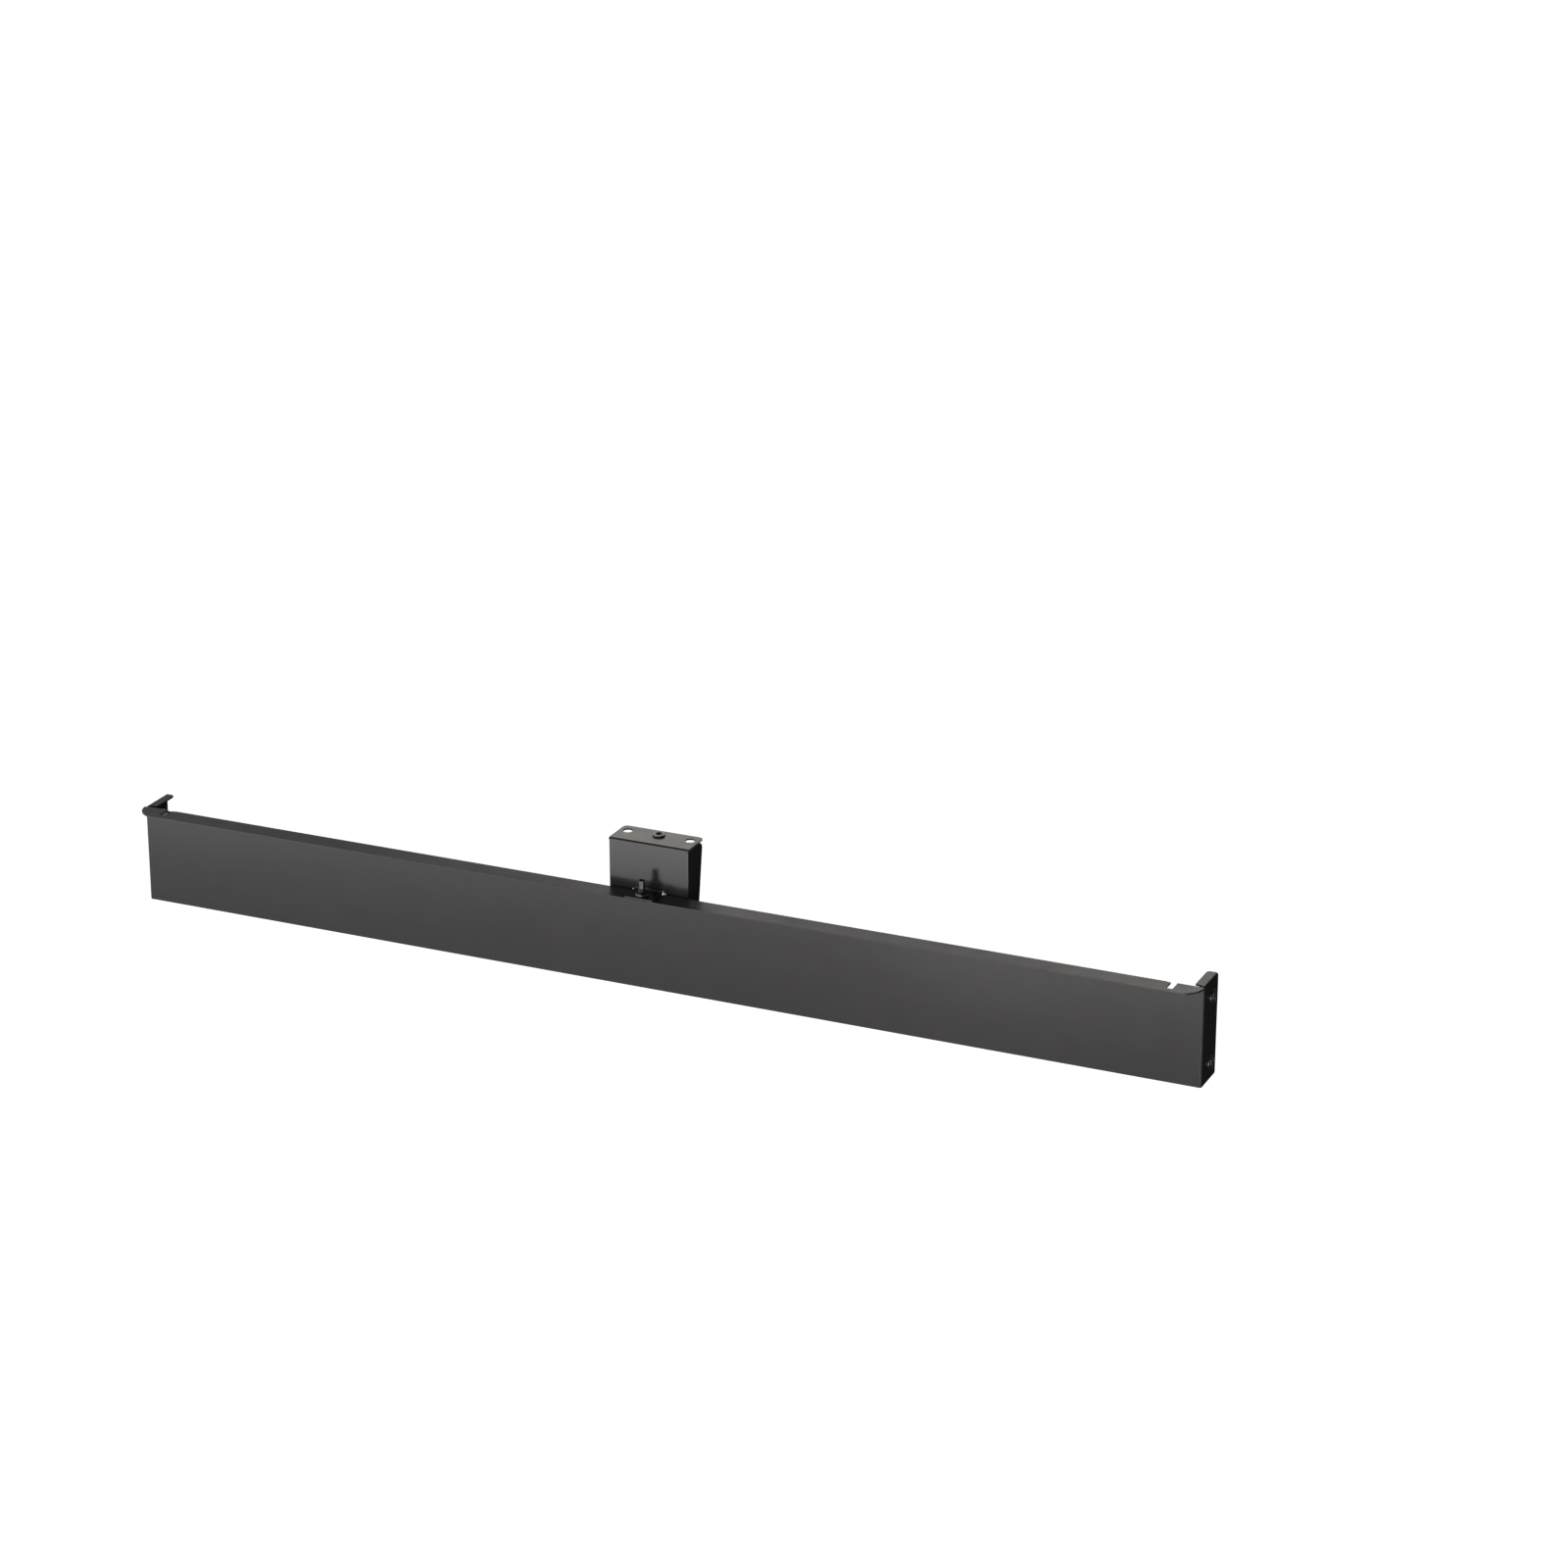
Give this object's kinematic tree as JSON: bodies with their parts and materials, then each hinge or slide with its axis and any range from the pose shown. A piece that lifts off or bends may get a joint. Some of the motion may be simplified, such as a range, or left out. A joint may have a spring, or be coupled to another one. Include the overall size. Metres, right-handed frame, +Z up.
{
  "type": "led strip batten",
  "caption": "Long black folded-steel fascia batten with a forward ledge, end plates and a central hanging bracket, with an LED strip channel along its rear face.",
  "frame": {"origin": "on the hanging insert's axis, in the top face of the hanging bracket, midway between its two hanging holes", "axes": "+X along the batten, -Y out of the fascia's front, +Z up"},
  "size_m": [0.9024, 0.0484, 0.1215],
  "materials": {
    "black_powder_coat": "satin powder coat",
    "black_zinc_steel": "satin black zinc",
    "black_oxide_steel": "oiled black oxide",
    "foam_tape": "closed-cell foam",
    "anodised_aluminium": "satin anodised",
    "white_circuit_board": "white solder mask",
    "led_package": "phosphor in a white cup",
    "chip_resistor": "fired ceramic",
    "opal_plastic": "frosted opal",
    "grey_plastic": "moulded matt",
    "black_plastic": "moulded matt",
    "nickel_pin": "nickel plated"
  },
  "bodies": {
    "batten": {"fascia": "black_powder_coat", "hanging_bracket": "black_powder_coat", "hanging_insert": "black_zinc_steel", "end_inserts_left": "black_zinc_steel", "end_inserts_right": "black_zinc_steel", "ledge_clinch_nut": "black_zinc_steel", "lock_nut": "black_oxide_steel", "mounting_tape": "foam_tape", "led_channel": "anodised_aluminium", "led_board": "white_circuit_board", "leds": "led_package", "resistors": "chip_resistor", "diffuser": "opal_plastic", "end_cap_left": "grey_plastic", "end_cap_right": "grey_plastic", "power_jack": "black_plastic", "power_jack_pin": "nickel_pin"},
    "screw": {"set_screw": "black_oxide_steel"}
  },
  "joints": [
    {"name": "set_screw_travel", "type": "slide", "parent": "batten", "child": "screw", "axis": [0, 0, 1], "range_m": [-0.003, 0.002]}
  ]
}
